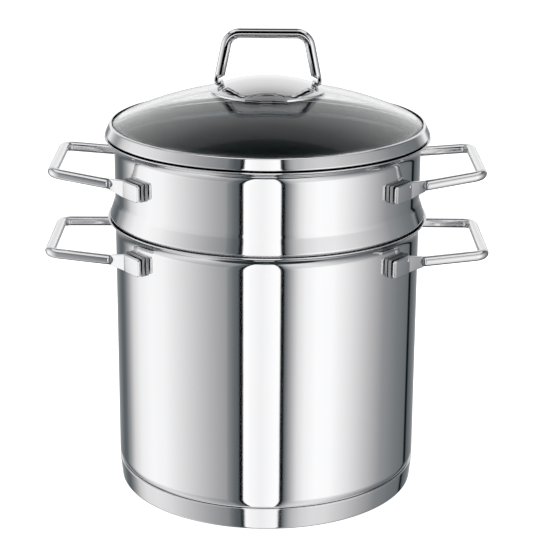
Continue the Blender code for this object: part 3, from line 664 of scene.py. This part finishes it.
def shadeInsideFaces(piece, outer, inner, wall, top):
    piece.data.materials.append(outer)
    piece.data.materials.append(inner)
    for face in piece.data.polygons:
        centre = face.center
        inward = -(centre.x * face.normal.x + centre.y * face.normal.y)
        reach = math.hypot(centre.x, centre.y)
        looksInside = inward > satinAndShade["inward"] * reach or face.normal.z > satinAndShade["upward"]
        if centre.z < top and reach < wall + satinAndShade["flare"] and looksInside:
            face.material_index = 1


cap = {"sheet": 1.0 * mm, "height": capHigh.z, "top": capHigh.x, "taper": 1.85 * mm, "edge": 1.5 * mm,
       "shoulder": 0.5 * mm, "lipEdge": 0.1 * mm, "footEdge": 0.8 * mm, "coreRise": 6.0 * mm}


def makeBase(steel, aluminium):
    bottom = cap["top"] - cap["taper"]
    lip = math.asin((cap["height"] - pot["cornerCentre"].y) / pot["corner"])
    lipRadius = pot["cornerCentre"].x + pot["corner"] * math.cos(lip) + seatGap
    foot = Vector((bottom - cap["sheet"], cap["edge"]))
    corners = [((0.0, 0.0), 0),
               ((bottom, 0.0), cap["edge"]),
               ((cap["top"], cap["height"]), cap["shoulder"]),
               ((lipRadius, cap["height"]), cap["lipEdge"]),
               (foot, cap["footEdge"]),
               ((foot.x - cap["edge"], cap["sheet"]), 0),
               ((0.0, cap["sheet"]), 0)]
    outline = withHolds(roundedOutline(corners, 15.0), False)
    capPiece = turnPiece("baseCap", outline, closed=False)
    finishPiece(capPiece, steel, "pot", "base_steel", "pot_base_cap")

    sideTop = pot["floor"] + cap["coreRise"]
    slope = (lipRadius - foot.x) / (cap["height"] - foot.y)
    seat = pot["corner"] + seatGap
    seatEnd = math.degrees(math.asin((sideTop - pot["cornerCentre"].y) / seat))
    coreFoot = foot + Vector((-seatGap, seatGap))
    points = [Vector((0.0, cap["sheet"] + seatGap)),
              Vector((coreFoot.x - cap["edge"], cap["sheet"] + seatGap)),
              coreFoot,
              coreFoot + Vector((slope, 1.0)) * (sideTop - coreFoot.y)]
    points += arcPoints(pot["cornerCentre"], seat, seatEnd, -90)
    points.append(Vector((0.0, pot["floor"] - seatGap)))
    corePiece = turnPiece("baseCore", points, closed=False)
    finishPiece(corePiece, aluminium, "pot", "core_aluminium", "pot_base_core")


# Steamer insert
steamer = {
    "sheet": 1.0 * mm,
    "collarInset": 0.14 * mm,
    "collarHeight": 65.43 * mm,
    "skirtRise": 13.3 * mm,
    "skirtReach": 4.2 * mm,
    "skirtHeight": 12.44 * mm,
    "skirtEdge": 1.5 * mm,
    "crease": 12.0 * mm,
    "leadAngle": 12.0,
    "spigotRoom": 0.8 * mm,
    "spigotDepth": 20.26 * mm,
    "spigotBend": 4.0 * mm,
    "corner": 10.0 * mm,
    "rimRadius": 10.0 * mm,
    "rimAngle": 74.0,
    "holeRadius": 3.5 * mm,
    "holeRings": 4,
    "holeMargin": 16.0 * mm,
    "satinShadeRise": 8.0 * mm,  # how far over the centre of the rim's bend the satin, painted-shade inside ends
}
steamer["collar"] = pot["wall"] - steamer["collarInset"]
steamer["rimCentre"] = Vector((steamer["collar"] + steamer["rimRadius"],
                               pot["rimCentre"].y + steamer["collarHeight"]))


# Direction in which a line from a point touches a circle on its right
def tangentAngle(point, centre, radius):
    towards = centre - point
    return math.atan2(towards.y, towards.x) - math.asin(radius / towards.length)


def makeSteamer(steel, inside):
    half = steamer["sheet"] / 2
    spigot = pot["wall"] - pot["sheet"] - steamer["spigotRoom"] - half
    floorMiddle = pot["rimCentre"].y - steamer["spigotDepth"] + half
    bend = steamer["corner"] - half
    seat = pot["rimRadius"] + pot["sheet"] + seatGap + half
    collar = steamer["collar"] - half
    edge = Vector((collar + steamer["skirtReach"], pot["rimCentre"].y + steamer["skirtRise"]))
    flank = -90 - math.degrees(tangentAngle(edge, pot["rimCentre"], seat))
    leadIn = arcPoints(pot["rimCentre"], seat, 180 - steamer["leadAngle"], 180 - flank, fineStep)
    drop = (leadIn[0].x - spigot) / math.tan(math.radians(steamer["leadAngle"]))
    corners = [(point, 0) for point in arcPoints((spigot - bend, floorMiddle + bend), bend, -90, 0)]
    corners.append(((spigot, leadIn[0].y - drop), steamer["spigotBend"]))
    corners += [(point, 0) for point in leadIn]
    corners.append((edge, steamer["skirtEdge"]))
    corners.append(((collar, edge.y + steamer["skirtHeight"]), steamer["crease"]))
    corners += [(point, 0) for point in rimArc(steamer)]
    path = roundedOutline(corners, 5.0)
    outline = sheetOutline(path, steamer["sheet"], roundEnd=True)
    piece = turnPiece("steamerBody", withHolds(outline, False), closed=False)

    pitch = (spigot - bend - steamer["holeMargin"]) / steamer["holeRings"]
    cutters = []
    for ring in range(steamer["holeRings"] + 1):
        for angle in spread(0.0, math.tau, max(1, 6 * ring))[:-1]:
            place = (ring * pitch * math.cos(angle), ring * pitch * math.sin(angle), floorMiddle)
            bpy.ops.mesh.primitive_cylinder_add(vertices=28, radius=steamer["holeRadius"],
                                                depth=6 * steamer["sheet"], location=place)
            cutters.append(bpy.context.object)
    cutWith(piece, cutters)
    shade(piece)
    shadeInsideFaces(piece, steel, inside, steamer["collar"] - half, steamer["rimCentre"].y + steamer["satinShadeRise"])
    finishPiece(piece, steel, "steamer", "polished_steel", "steamer_body")


# Joins the cutters and cuts, or adds, them
def cutWith(piece, cutters, operation="DIFFERENCE"):
    pick(*cutters)
    if len(cutters) > 1:
        bpy.ops.object.join()
    cutter = bpy.context.object
    pick(piece)
    modifier = piece.modifiers.new("cut", "BOOLEAN")
    modifier.operation = operation
    modifier.object = cutter
    bpy.ops.object.modifier_apply(modifier=modifier.name)
    bpy.data.objects.remove(cutter)


# Lid
lid = {
    "curve": 280.0 * mm,
    "thickness": 4.0 * mm,
    "radius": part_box("lid_glass")[1].x,
    "edgeRise": 20.16 * mm,
    "hole": 3.5 * mm,
    "edgeBevel": 0.6 * mm,
    "rimSheet": 0.6 * mm,
    "bandOverhang": 6.9 * mm,
    "bandHeight": 7.8 * mm,
    "bandTopReach": 2.1 * mm,
    "fold": 0.6 * mm,
    "topFold": 1.45 * mm,
    "ledgeFold": 0.5 * mm,
    "topProud": 0.35 * mm,
    "glassRoom": 0.6 * mm,
    "flangeRoom": 0.66 * mm,
    "flangeDrop": 16.05 * mm,
    "sealThickness": 1.2 * mm,
    "sealWidth": 2.2 * mm,
    "sealEdge": 0.25 * mm,
}
lid["edgeTop"] = steamer["rimCentre"].y + lid["edgeRise"]
lid["centre"] = lid["edgeTop"] - math.sqrt(lid["curve"] ** 2 - lid["radius"] ** 2)
lid["innerCurve"] = lid["curve"] - lid["thickness"]


def makeGlass(glass):
    bevel = lid["edgeBevel"]
    radii = spread(lid["hole"], lid["radius"] - bevel, 26)
    top = domePoints(lid["centre"], lid["curve"], radii)
    under = domePoints(lid["centre"], lid["innerCurve"], radii[::-1])
    edge = [Vector((lid["radius"], top[-1].y - bevel)), Vector((lid["radius"], under[0].y + bevel))]
    piece = turnPiece("lidGlass", top + edge + under)
    finishPiece(piece, glass, "lid", "lid_glass", "lid_glass")


def makeLidRim(steel, silicone):
    half = lid["rimSheet"] / 2
    inner = lid["innerCurve"]
    channel = lid["radius"] + lid["glassRoom"] + half
    top = lid["edgeTop"] + lid["topProud"]
    bandTop = Vector((lid["radius"] + lid["bandTopReach"], top))
    bandFoot = Vector((steamer["collar"] + lid["bandOverhang"] - half, top - lid["bandHeight"]))
    seat = steamer["rimRadius"] + steamer["sheet"] + seatGap + half
    flank = -90 - math.degrees(tangentAngle(bandFoot, steamer["rimCentre"], seat))
    flange = steamer["collar"] - steamer["sheet"] - lid["flangeRoom"] - half
    flangeBottom = lid["edgeTop"] - lid["flangeDrop"]
    seatFoot = math.degrees(math.asin((flangeBottom + half - steamer["rimCentre"].y) / seat))
    sealRoom = lid["sealThickness"] + 2 * seatGap + half

    # Height at a distance under the glass
    def underGlass(radius, distance):
        return domeHeight(lid["centre"], inner, radius) - distance * domeSlant(inner, radius)

    onSeat = arcPoints(steamer["rimCentre"], seat, 180 - flank, 180 - seatFoot, fineStep)
    corners = [((channel, top), 0), (bandTop, lid["topFold"]), (bandFoot, lid["fold"])]
    corners += [(point, 0) for point in onSeat]
    corners += [((onSeat[-1].x - lid["rimSheet"], flangeBottom), 0),
                ((flange, flangeBottom), lid["fold"]),
                ((flange, underGlass(flange, sealRoom)), lid["ledgeFold"]),
                ((channel, underGlass(channel, sealRoom)), lid["ledgeFold"]),
                ((channel, top - lid["rimSheet"] - seatGap), 0)]
    path = roundedOutline(corners, 15.0)
    outline = withHolds(sheetOutline(path, lid["rimSheet"]), True)
    rim = turnPiece("lidRim", outline)
    finishPiece(rim, steel, "lid", "polished_steel", "lid_rim")

    sealOuter = lid["radius"] - seatGap
    sealInner = sealOuter - lid["sealWidth"]
    sealFoot = seatGap + lid["sealThickness"]
    section = ((sealInner, seatGap), (sealOuter, seatGap), (sealOuter, sealFoot), (sealInner, sealFoot))
    corners = [((radius, underGlass(radius, depth)), lid["sealEdge"]) for radius, depth in section]
    seal = turnPiece("lidSeal", roundedOutline(corners, 30.0))
    finishPiece(seal, silicone, "lid", "silicone", "lid_rim_seal")


rosette = {"radius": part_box("lid_rosette")[1].x, "edge": 1.65 * mm, "crown": 9.0 * mm, "wall": 1.5 * mm,
           "edgeRound": 0.6 * mm, "post": 5.0 * mm, "boreDepth": 5.5 * mm}
rosette["foot"] = domeHeight(lid["centre"], lid["curve"], rosette["radius"]) + seatGap
rosette["edgeTop"] = rosette["foot"] + rosette["edge"]
rosette["sphere"] = (rosette["radius"] ** 2 + rosette["crown"] ** 2) / (2 * rosette["crown"])
rosette["centre"] = rosette["edgeTop"] + rosette["crown"] - rosette["sphere"]
screw = {"radius": 1.9 * mm, "head": 4.2 * mm, "headHeight": 2.0 * mm, "headTip": 2.9 * mm, "headEdge": 1.0 * mm,
         "socket": 1.5 * mm, "socketDepth": 1.2 * mm}
washers = {"lidGasket": {"radius": 9.5 * mm, "thickness": 1.2 * mm},
           "lidWasher": {"radius": 8.5 * mm, "thickness": 0.9 * mm},
           "hole": 0.15 * mm, "edge": 0.25 * mm}


def makeRosette(steel):
    centre, sphere, radius = rosette["centre"], rosette["sphere"], rosette["radius"]
    rounding = rosette["edgeRound"]
    dome = domePoints(centre, sphere, spread(0.0, radius - 1.2 * rounding, 18))
    shoulder = roundedOutline([(dome[-1], 0), ((radius, rosette["edgeTop"]), rounding),
                               ((radius, rosette["foot"]), 0.2 * mm),
                               ((radius - rosette["wall"], rosette["foot"]), 0)], 15.0)[1:]
    under = domePoints(centre, sphere - rosette["wall"], spread(radius - 1.5 * rosette["wall"], rosette["post"], 10))
    postFoot = lid["centre"] + lid["curve"] + seatGap
    bore = screw["radius"] + seatGap
    end = [Vector((rosette["post"], postFoot)), Vector((bore, postFoot)),
           Vector((bore, postFoot + rosette["boreDepth"])), Vector((0.0, postFoot + rosette["boreDepth"]))]
    piece = turnPiece("lidRosette", withHolds(dome + shoulder + under + end, False), closed=False)
    finishPiece(piece, steel, "lid", "polished_steel", "lid_rosette")


def makeFastening(silicone, steel):
    bore = screw["radius"] + seatGap
    top = domeHeight(lid["centre"], lid["innerCurve"], washers["lidGasket"]["radius"]) - seatGap
    for name, node, material, slot in (("lidGasket", "lid_gasket", silicone, "silicone"),
                                       ("lidWasher", "lid_washer", steel, "fastener_steel")):
        radius = washers[name]["radius"]
        foot = top - washers[name]["thickness"]
        corners = [((bore, top), washers["hole"]), ((radius, top), washers["edge"]),
                   ((radius, foot), washers["edge"]), ((bore, foot), washers["hole"])]
        piece = turnPiece(name, roundedOutline(corners, 30.0), steps=smallTurnSteps)
        finishPiece(piece, material, "lid", slot, node)
        top = foot - seatGap
    # The screw's head hangs under the washer
    tip = top - screw["headHeight"]
    shankTop = lid["centre"] + lid["curve"] + rosette["boreDepth"]
    corners = [((0.0, shankTop), 0), ((screw["radius"], shankTop), 0.4 * mm), ((screw["radius"], top), 0),
               ((screw["head"], top), 0.2 * mm), ((screw["head"], top - screw["headEdge"]), 0.4 * mm),
               ((screw["headTip"], tip), 0.3 * mm), ((0.0, tip), 0)]
    piece = turnPiece("lidScrew", roundedOutline(corners, 20.0), closed=False, steps=smallTurnSteps)
    bpy.ops.mesh.primitive_cylinder_add(vertices=6, radius=screw["socket"], depth=2 * screw["socketDepth"],
                                        location=(0, 0, tip))
    cutWith(piece, [bpy.context.object])
    shade(piece)
    finishPiece(piece, steel, "lid", "fastener_steel", "lid_screw")


# Side handles: a bent rod whose ends are pressed flat into necks and folded into wall tabs.
# The right handle's front half is made on the -Y side, then mirrored.
handle = {
    "rod": 4.0 * mm,
    "rodPoints": 32,
    "bend": 9.0 * mm,
    "bendSteps": 16,
    "hold": 0.8 * mm,
    "rootSpan": 54.9 * mm,
    "barSpan": 45.1 * mm,
    "rootInset": 0.5 * mm,
    "strip": 2.9 * mm,
    "stripRounding": 0.7 * mm,
    "neckWidth": 9.1 * mm,
    "neckEnd": 0.9 * mm,
    "waist": 0.4 * mm,
    "creaseSpan": 66.6 * mm,
    "creaseWidth": 13.4 * mm,
    "foldReach": 0.35 * mm,
    "tabLength": 20.0 * mm,
    "tabCorner": 2.0 * mm,
    "endRounding": 0.3 * mm,
    "dimple": 1.5 * mm,
    "dimpleDepth": 0.5 * mm,
    "dimpleFromCrease": 3.2 * mm,
    "dimpleRise": 3.9 * mm,
}
# How the rod's end is drawn in: (distance from its end, share of its full breadth)
rodEnd = ((0.0, 0.70), (0.5, 0.86), (1.1, 0.96), (1.8, 1.0))
shoulderShadeSpan = (0.02 * mm, 1.2 * mm)  # between these distances the rod's end gets a darker steel: painted shade for the dark reflection at its shoulder
bracket = {"thickness": 3.0 * mm, "length": 25.0 * mm, "extra": 0.8 * mm, "corner": 1.5 * mm, "rounding": 0.4 * mm,
           "weld": 3.5 * mm, "weldHeight": 1.2 * mm, "steps": 8}
vessels = {
    "pot": {"wall": pot["wall"], "rodHeight": pot["rimCentre"].y - 12.41 * mm,
            "tabHeight": pot["rimCentre"].y - 11.01 * mm, "reach": 48.66 * mm, "tilt": 3.0,
            "tabWidth": 13.8 * mm},
    "steamer": {"wall": steamer["collar"], "rodHeight": steamer["rimCentre"].y - 17.14 * mm,
                "tabHeight": steamer["rimCentre"].y - 18.04 * mm, "reach": 44.8 * mm, "tilt": 7.5,
                "tabWidth": 13.3 * mm},
}


# A station on a cylinder round the pot's axis; the angle runs from +X towards -Y, the path the other way
def onWall(radius, angle, height, width):
    centre = Vector((radius * math.cos(angle), -radius * math.sin(angle), height))
    return centre, math.pi / 2 - angle, width


def tabRadius(vessel):
    gaps = 2 * seatGap + bracket["thickness"] + bracket["weldHeight"]
    return vessels[vessel]["wall"] + gaps + handle["strip"] / 2


def makeHandle(vessel, side, steel, shadeSteel):
    given = vessels[vessel]
    radius = tabRadius(vessel)
    height = given["tabHeight"]
    crease = math.asin(handle["creaseSpan"] / radius)
    length = handle["tabLength"]
    stations = []
    for distance, drop in roundEnd(handle["tabCorner"], handle["endRounding"]):
        stations.append(onWall(radius, crease + (length - distance) / radius, height, given["tabWidth"] - 2 * drop))
    for distance in spread(handle["tabCorner"], length - handle["foldReach"], 6)[1:]:
        stations.append(onWall(radius, crease + (length - distance) / radius, height, given["tabWidth"]))
    fold, tabHeading, width = onWall(radius, crease, height, handle["creaseWidth"])
    root = Vector((given["wall"] - handle["rootInset"], -handle["rootSpan"], given["rodHeight"]))
    neck = root - fold
    neckLength = neck.length
    neck.normalize()
    neckHeading = math.atan2(neck.y, neck.x)
    stations.append((fold, (tabHeading + neckHeading) / 2, width))
    stations.append((fold + neck * handle["foldReach"], neckHeading, width))
    middle = (handle["creaseWidth"] + handle["neckWidth"]) / 2 - handle["waist"]
    stations.append((fold + neck * neckLength / 2, neckHeading, middle))
    stations.append((root - neck * handle["neckEnd"], neckHeading, handle["neckWidth"]))

    # The rod is laid out flat, then tipped up about its root
    tilt = math.radians(given["tilt"])
    bar = Vector((root.x + (given["wall"] + given["reach"] - root.x) / math.cos(tilt), -handle["barSpan"], root.z))
    arm = bar - root
    heading = math.atan2(arm.y, arm.x)
    arm.normalize()
    piece = startEmpty(vessel + "Handle" + side.title())
    startRod(root, heading, "Z", handle["rod"], handle["rodPoints"])
    bpy.ops.transform.resize(value=(1.0, rodEnd[0][1], 1.0), center_override=root)
    for (lastDistance, lastShare), (distance, share) in zip(rodEnd, rodEnd[1:]):
        extrudeBy(arm * (distance - lastDistance) * mm)
        bpy.ops.transform.resize(value=(1.0, share / lastShare, 1.0), center_override=root + arm * distance * mm)
    bendReach = handle["bend"] * math.tan((math.pi / 2 - heading) / 2)
    bendStart = bar - arm * bendReach
    here = root + arm * (rodEnd[-1][0] * mm + handle["hold"])
    extrudeBy(arm * handle["hold"])
    extrudeBy(bendStart - here)
    centre = bendStart + Vector((-arm.y, arm.x, 0)) * handle["bend"]
    bpy.ops.mesh.spin(steps=handle["bendSteps"], angle=math.pi / 2 - heading, center=centre, axis=(0, 0, -1))
    extrudeBy((0, handle["barSpan"] - bendReach, 0))
    selectAll()
    turnBy(-tilt, "Y", root)
    startStrip(stations[0], "Z", handle["strip"], handle["stripRounding"])
    sweepStrip(stations, "Z")
    bpy.ops.mesh.delete(type="ONLY_FACE")
    bridgeInside(piece, 1, 2)
    mirrorPiece(piece, 1)
    roundStripEnds(piece, handle["endRounding"])

    ball = (handle["dimple"] ** 2 + handle["dimpleDepth"] ** 2) / (2 * handle["dimpleDepth"])
    reach = radius + handle["strip"] / 2 + ball - handle["dimpleDepth"]
    angle = crease + handle["dimpleFromCrease"] / radius
    cutters = []
    for way in (-1, 1):
        place = (reach * math.cos(angle), way * reach * math.sin(angle), height + handle["dimpleRise"])
        bpy.ops.mesh.primitive_uv_sphere_add(segments=48, ring_count=24, radius=ball, location=place)
        cutters.append(bpy.context.object)
    cutWith(piece, cutters)
    piece.data.materials.append(steel)
    piece.data.materials.append(shadeSteel)
    # The drawn-in end of the rod gets the darker steel: painted shade at its shoulder
    for face in piece.data.polygons:
        spot = Vector((face.center.x, -abs(face.center.y), root.z)) - root
        if shoulderShadeSpan[0] < spot.dot(arm) < shoulderShadeSpan[1]:
            face.material_index = 1
    turnTo(side)
    shade(piece)
    finishPiece(piece, steel, vessel, "handle_steel", vessel + "_handle_" + side)


# The active piece is made on +X, and goes to the left by half a turn
def turnTo(side):
    if side == "left":
        editMode()
        selectAll()
        turnBy(math.pi, "Z")
        objectMode()


def makeBracket(vessel, side, end, steel):
    given = vessels[vessel]
    radius = given["wall"] + seatGap + bracket["thickness"] / 2
    tab = tabRadius(vessel)
    tabEnd = math.asin(handle["creaseSpan"] / tab) + handle["tabLength"] / tab
    middle = tabEnd - bracket["length"] / 2 / radius
    if (end == "rear") == (side == "right"):
        middle = -middle
    half = bracket["length"] / 2
    height = given["tabHeight"]
    full = given["tabWidth"] + bracket["extra"]
    ends = roundEnd(bracket["corner"], bracket["rounding"])
    places = [(half - distance, full - 2 * drop) for distance, drop in ends]
    straight = spread(places[-1][0], -places[-1][0], bracket["steps"])[1:-1]
    places += [(place, full) for place in straight] + [(-place, width) for place, width in places[::-1]]
    stations = [onWall(radius, middle + place / radius, height, width) for place, width in places]
    piece = startEmpty(vessel + "Bracket" + side.title() + end.title())
    startStrip(stations[0], "Z", bracket["thickness"], bracket["rounding"])
    sweepStrip(stations, "Z")
    cleanMesh()
    roundStripEnds(piece, bracket["rounding"])
    reach = bracket["thickness"] / 2 + bracket["weldHeight"]
    across = radius + reach / 2
    bpy.ops.mesh.primitive_cylinder_add(vertices=48, radius=bracket["weld"], depth=reach,
                                        location=(across * math.cos(middle), -across * math.sin(middle), height),
                                        rotation=(0, math.pi / 2, -middle))
    cutWith(piece, [bpy.context.object], "UNION")
    turnTo(side)
    shade(piece)
    node = "_".join((vessel, "handle", side, "bracket", end))
    finishPiece(piece, steel, vessel, "handle_steel", node)


# Grip: its right half is made from the nose of the foot up to the middle of the bar, then mirrored
grip = {
    "rod": 4.0 * mm,
    "rodPoints": 32,
    "height": 38.65 * mm,
    "span": 40.37 * mm,
    "lean": 0.2,
    "bend": 11.0 * mm,
    "bendSteps": 20,
    "strip": 3.3 * mm,
    "rounding": 0.8 * mm,
    "footLength": 5.5 * mm,
    "footWidth": 12.0 * mm,
    "noseWidth": 9.0 * mm,
    "heelBend": 2.3 * mm,
    "neckWidth": 9.0 * mm,
    "neckHeight": 4.2 * mm,
    "cut": 3.0 * mm,
    "hold": 0.5 * mm,
    "endRounding": 0.25 * mm,
}


def makeGrip(steel):
    half = grip["strip"] / 2
    foot = rosette["sphere"] + seatGap + half
    nose = grip["span"] - grip["footLength"]
    bendStart = grip["span"] - grip["heelBend"]
    stations = []
    widths = ((nose + 0.25 * mm, grip["noseWidth"]), (nose + 0.8 * mm, 0.90 * grip["footWidth"]),
              (nose + 1.7 * mm, grip["footWidth"]), (bendStart, grip["footWidth"]))
    for reach, width in widths:
        slope = reach / math.sqrt(foot ** 2 - reach ** 2)
        stations.append((Vector((reach, 0, domeHeight(rosette["centre"], foot, reach))), -math.atan(slope), width))
    start = stations[-1][0]
    heading = stations[-1][1]
    # The heel bends up until the strip stands upright
    radius = (grip["span"] - start.x) / (1 - math.sin(heading))
    centre = start + Vector((-math.sin(heading), 0, math.cos(heading))) * radius
    for turn in spread(heading, math.pi / 2, 6)[1:]:
        place = centre + Vector((math.sin(turn), 0, -math.cos(turn))) * radius
        stations.append((place, turn, grip["footWidth"]))
    rodFoot = domeHeight(rosette["centre"], foot, grip["span"]) + grip["neckHeight"]
    stations.append((Vector((grip["span"], 0, rodFoot)), math.pi / 2, grip["neckWidth"]))

    piece = startEmpty("lidGrip")
    startStrip(stations[0], "Y", grip["strip"], grip["rounding"])
    sweepStrip(stations, "Y")
    bpy.ops.mesh.delete(type="ONLY_FACE")

    legFoot = Vector((grip["span"] + half - grip["rod"], 0, rodFoot))
    top = rosette["centre"] + rosette["sphere"] + grip["height"] - grip["rod"]
    leg = Vector((-grip["lean"], 0, 1.0)).normalized()
    lean = math.atan2(leg.z, leg.x)
    legStart = legFoot + leg * grip["cut"] / leg.z
    startRod(legStart, lean, "Y", grip["rod"], grip["rodPoints"])
    corner = legFoot + leg * (top - rodFoot) / leg.z
    bendReach = grip["bend"] * math.tan((math.pi - lean) / 2)
    bendStart = corner - leg * bendReach
    extrudeBy(leg * grip["hold"])
    extrudeBy(bendStart - legStart - leg * grip["hold"])
    centre = bendStart + Vector((-leg.z, 0, leg.x)) * grip["bend"]
    bpy.ops.mesh.spin(steps=grip["bendSteps"], angle=math.pi - lean, center=centre, axis=(0, 1, 0))
    extrudeBy((bendReach - corner.x, 0, 0))
    bridgeInside(piece, 0, 2)
    mirrorPiece(piece, 0)
    roundStripEnds(piece, grip["endRounding"])
    shade(piece)
    finishPiece(piece, steel, "lid", "handle_steel", "lid_grip")


# Colours, lamps and pieces
addCamera()
addWorld()
addFloor()
addFlags()
addLamp()
bpy.context.scene.view_settings.view_transform = "Standard"
print("studio: camera, cards, floor, flags and lamp")

polishMarks = polishGroup()
steels = {name: steelMaterial(name, polishMarks, look) for name, look in steelLooks.items()}
clearGlass = glassMaterial()
greySilicone = siliconeMaterial()

makePot(steels["mirrorSteel"], steels["satinShadePotInside"])
makeBase(steels["turnedBase"], steels["coreAluminium"])
print("pot: body, base cap and core")
makeSteamer(steels["mirrorSteel"], steels["satinShadeInside"])
print("steamer: body with its holes")
makeGlass(clearGlass)
makeLidRim(steels["mirrorSteel"], greySilicone)
makeRosette(steels["mirrorSteel"])
makeFastening(greySilicone, steels["fastenerSteel"])
print("lid: glass, rim, seal, rosette and fastening")

makeGrip(steels["gripSteel"])
for vessel in vessels:
    for side in ("left", "right"):
        makeHandle(vessel, side, steels["handleSteel"], steels["shoulderShadeSteel"])
        for end in ("front", "rear"):
            makeBracket(vessel, side, end, steels["bracketShadeSteel"])
print("handles, brackets and grip")
